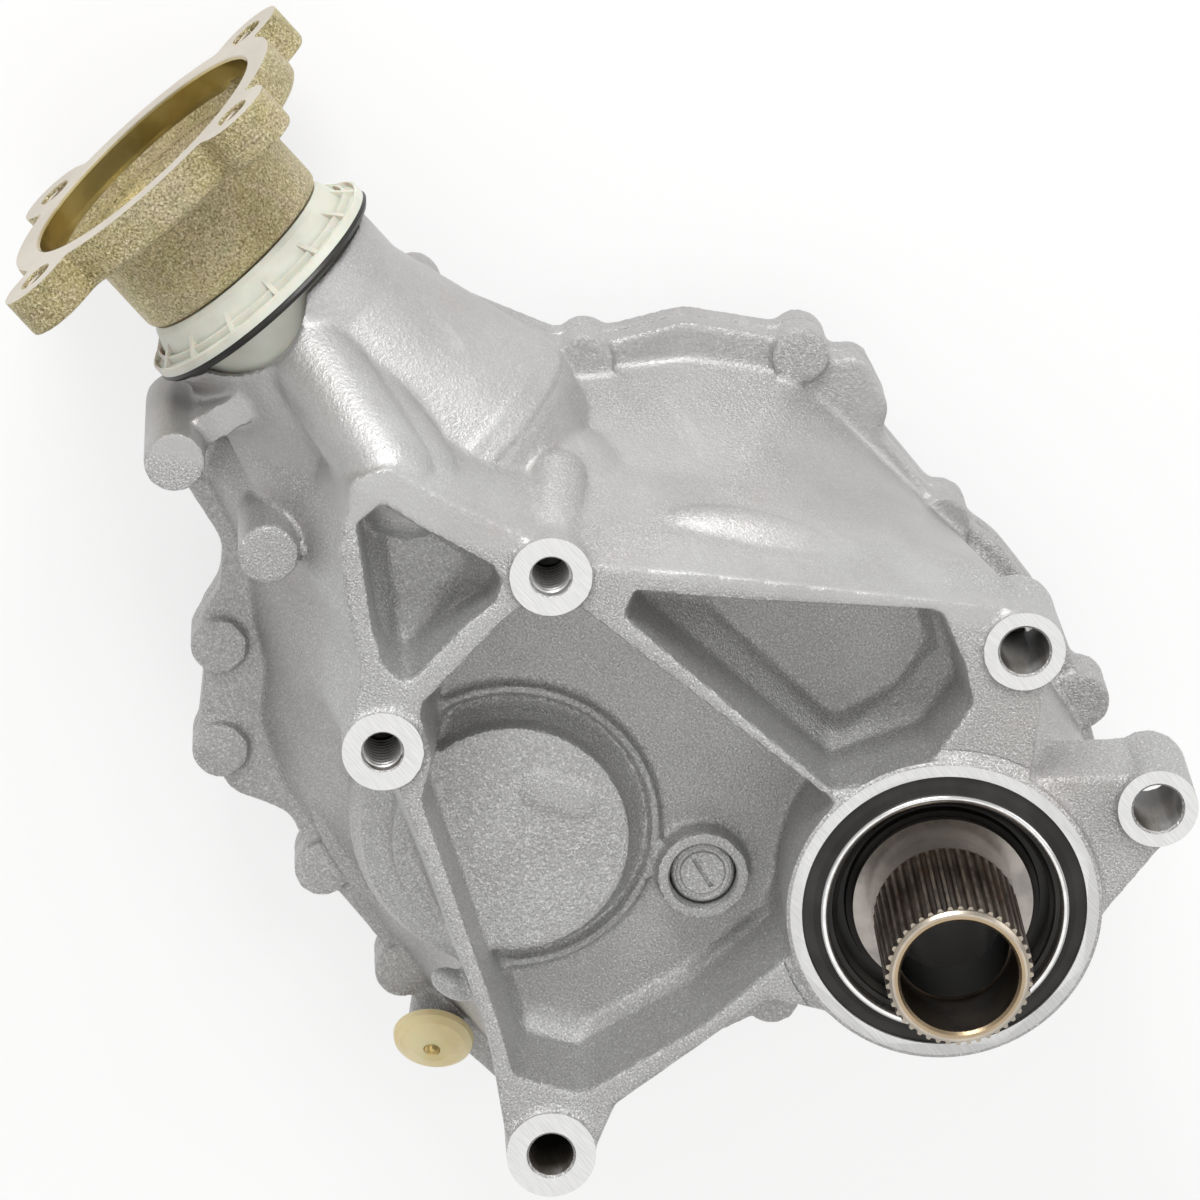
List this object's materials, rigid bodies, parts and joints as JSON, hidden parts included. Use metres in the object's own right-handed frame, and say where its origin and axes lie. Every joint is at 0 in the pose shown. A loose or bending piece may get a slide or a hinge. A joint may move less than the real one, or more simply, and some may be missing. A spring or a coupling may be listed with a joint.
{
  "type": "transfer case",
  "caption": "Right-angle power transfer unit: ribbed cast case, hollow splined input shaft, idler train, hypoid gears and an eared output flange.",
  "frame": {"origin": "centre of the input shaft's bore in the plane of the mounting face", "axes": "+Z along the input axis out of the mounting face, +X along the output axis towards the flange face"},
  "size_m": [0.391, 0.2667, 0.208],
  "materials": {
    "cast_aluminium": "sand-blasted casting with machined faces",
    "fastener_steel": "plain zinc-plated steel",
    "gear_steel": "ground and oiled gear steel",
    "bearing_steel": "ground bearing steel",
    "spline_steel": "dark hardened spline with machined end",
    "bright_steel": "bright turned steel ring",
    "yellow_zinc": "yellow zinc chromate over rough forging",
    "ivory_nylon": "moulded natural nylon",
    "yellow_nylon": "translucent yellow nylon",
    "black_rubber": "oiled black rubber",
    "brass": "turned brass"
  },
  "bodies": {
    "housing": {"main_case": "cast_aluminium", "rear_cover": "cast_aluminium", "cover_bolts": "fastener_steel", "cover_dowels": "fastener_steel", "input_front_cup": "bearing_steel", "input_rear_cup": "bearing_steel", "transfer_front_cup": "bearing_steel", "transfer_rear_cup": "bearing_steel", "pinion_head_cup": "bearing_steel", "pinion_tail_cup": "bearing_steel", "idler_pin": "fastener_steel", "idler_thrust_washers": "bearing_steel", "idler_snap_ring": "fastener_steel", "output_seal": "black_rubber", "pilot_seal": "black_rubber", "pilot_seal_band": "bright_steel", "input_seal": "black_rubber", "seal_carrier": "gear_steel", "axle_seal": "black_rubber", "fill_plug": "fastener_steel", "drain_plug": "fastener_steel", "vent_cap": "yellow_nylon", "vent_fitting": "brass"},
    "input": {"input_shaft": "spline_steel", "input_gear": "gear_steel", "input_spacer": "gear_steel", "input_front_cone": "bearing_steel", "input_front_rollers": "bearing_steel", "input_rear_cone": "bearing_steel", "input_rear_rollers": "bearing_steel"},
    "idler": {"idler_gear": "gear_steel", "idler_needles": "bearing_steel"},
    "transfer": {"transfer_shaft": "gear_steel", "transfer_gear": "gear_steel", "ring_gear": "gear_steel", "ring_gear_bolts": "fastener_steel", "transfer_front_cone": "bearing_steel", "transfer_front_rollers": "bearing_steel", "transfer_rear_cone": "bearing_steel", "transfer_rear_rollers": "bearing_steel"},
    "output": {"pinion_shaft": "gear_steel", "pinion_head_cone": "bearing_steel", "pinion_head_rollers": "bearing_steel", "pinion_tail_cone": "bearing_steel", "pinion_tail_rollers": "bearing_steel", "crush_spacer": "gear_steel", "pinion_washer": "fastener_steel", "pinion_nut": "fastener_steel", "output_flange": "yellow_zinc", "dust_deflector": "ivory_nylon", "deflector_rubber": "black_rubber", "deflector_sleeve": "ivory_nylon"}
  },
  "joints": [
    {"name": "input_spin", "type": "hinge", "parent": "housing", "child": "input", "pos_m": [0, 0, 0], "axis": [0, 0, 1], "continuous": true},
    {"name": "idler_spin", "type": "hinge", "parent": "housing", "child": "idler", "pos_m": [0.04799, 0.05501, -0.056], "axis": [0, 0, 1], "continuous": true},
    {"name": "transfer_spin", "type": "hinge", "parent": "housing", "child": "transfer", "pos_m": [0.09871, 0.09066, -0.09], "axis": [0, 0, 1], "continuous": true},
    {"name": "output_spin", "type": "hinge", "parent": "housing", "child": "output", "pos_m": [0.2, 0.04, -0.085], "axis": [1, 0, 0], "continuous": true}
  ],
  "couplings": [
    {"joint": "input_spin", "follows": "transfer_spin", "ratio": 0.76087},
    {"joint": "idler_spin", "follows": "transfer_spin", "ratio": -1.2963},
    {"joint": "output_spin", "follows": "transfer_spin", "ratio": 2.8462}
  ]
}
